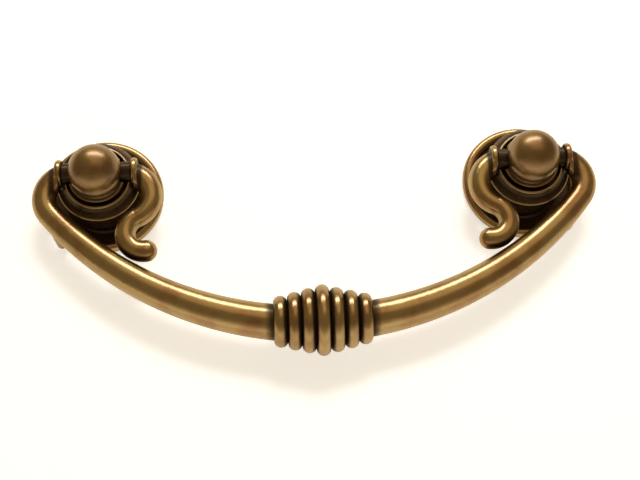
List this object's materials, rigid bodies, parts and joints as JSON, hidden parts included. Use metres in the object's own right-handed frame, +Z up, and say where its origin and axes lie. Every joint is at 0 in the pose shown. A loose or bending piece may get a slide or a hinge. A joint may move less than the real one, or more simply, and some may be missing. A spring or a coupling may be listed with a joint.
{
  "type": "cabinet handle",
  "caption": "Swinging bail handle for a drawer in antique brass: a curved bail with a ringed grip and hooked tails, hung from ball-topped posts on beaded rosettes.",
  "frame": {"origin": "midway between the two screw holes, on the plane of the drawer face", "axes": "+X from the left post to the right one along the line of the screws, +Y into the drawer, +Z up; the bail hangs plumb in front, on the -Y side"},
  "size_m": [0.1238, 0.0227, 0.0556],
  "materials": {
    "bail": "antique, relieved",
    "knob": "antique, relieved",
    "collar": "antique, dark",
    "rosette": "antique, dark in the dish",
    "threaded_core": "plain turned"
  },
  "bodies": {
    "posts": {"left_knob": "knob", "left_collar": "collar", "left_rosette": "rosette", "left_threaded_core": "threaded_core", "right_knob": "knob", "right_collar": "collar", "right_rosette": "rosette", "right_threaded_core": "threaded_core"},
    "bail": {"bail": "bail"}
  },
  "joints": [
    {"name": "bail_hinge", "type": "hinge", "parent": "posts", "child": "bail", "pos_m": [0, -0.0136, 0.00095], "axis": [-1, 0, 0], "range_deg": [-1.5, 180]}
  ]
}
